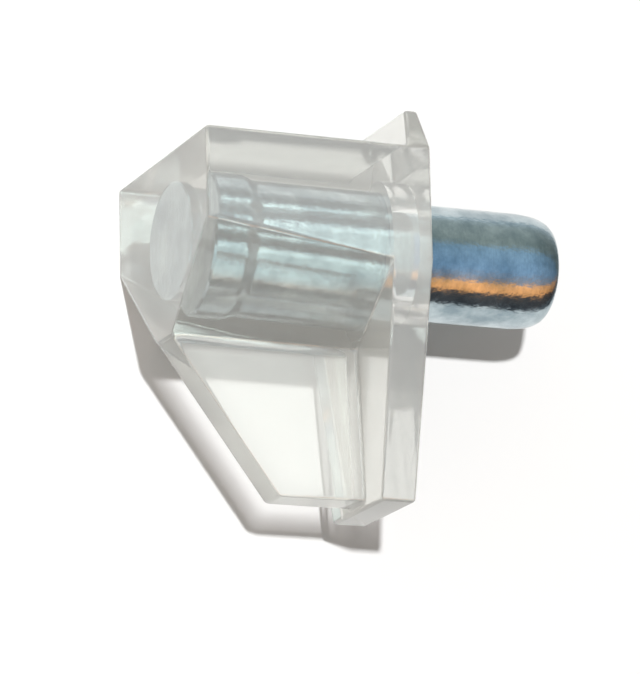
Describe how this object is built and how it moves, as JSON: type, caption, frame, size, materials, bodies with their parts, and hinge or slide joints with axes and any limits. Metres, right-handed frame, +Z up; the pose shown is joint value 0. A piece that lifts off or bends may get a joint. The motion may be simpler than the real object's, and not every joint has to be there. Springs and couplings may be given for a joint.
{
  "type": "shelf support pin",
  "caption": "Clear plastic shelf support bracket with a steel pin moulded into it, plugged into a hole in a cabinet's side panel to carry the end of a shelf.",
  "frame": {"origin": "on the pin's axis, in the plane of the plate's back, which is the face of the cabinet's side panel", "axes": "+X along the pin into the panel, +Z up towards the shelf, +Y across the bracket's width"},
  "size_m": [0.0174, 0.0102, 0.0166],
  "materials": {
    "clear_plastic": "clear moulded polycarbonate, slightly milky, with scuffed edges",
    "zinc_plated_steel": "bright zinc plating with a faint blue cast and fine pits"
  },
  "bodies": {
    "root": {"bracket": "clear_plastic", "pin": "zinc_plated_steel"}
  },
  "joints": []
}
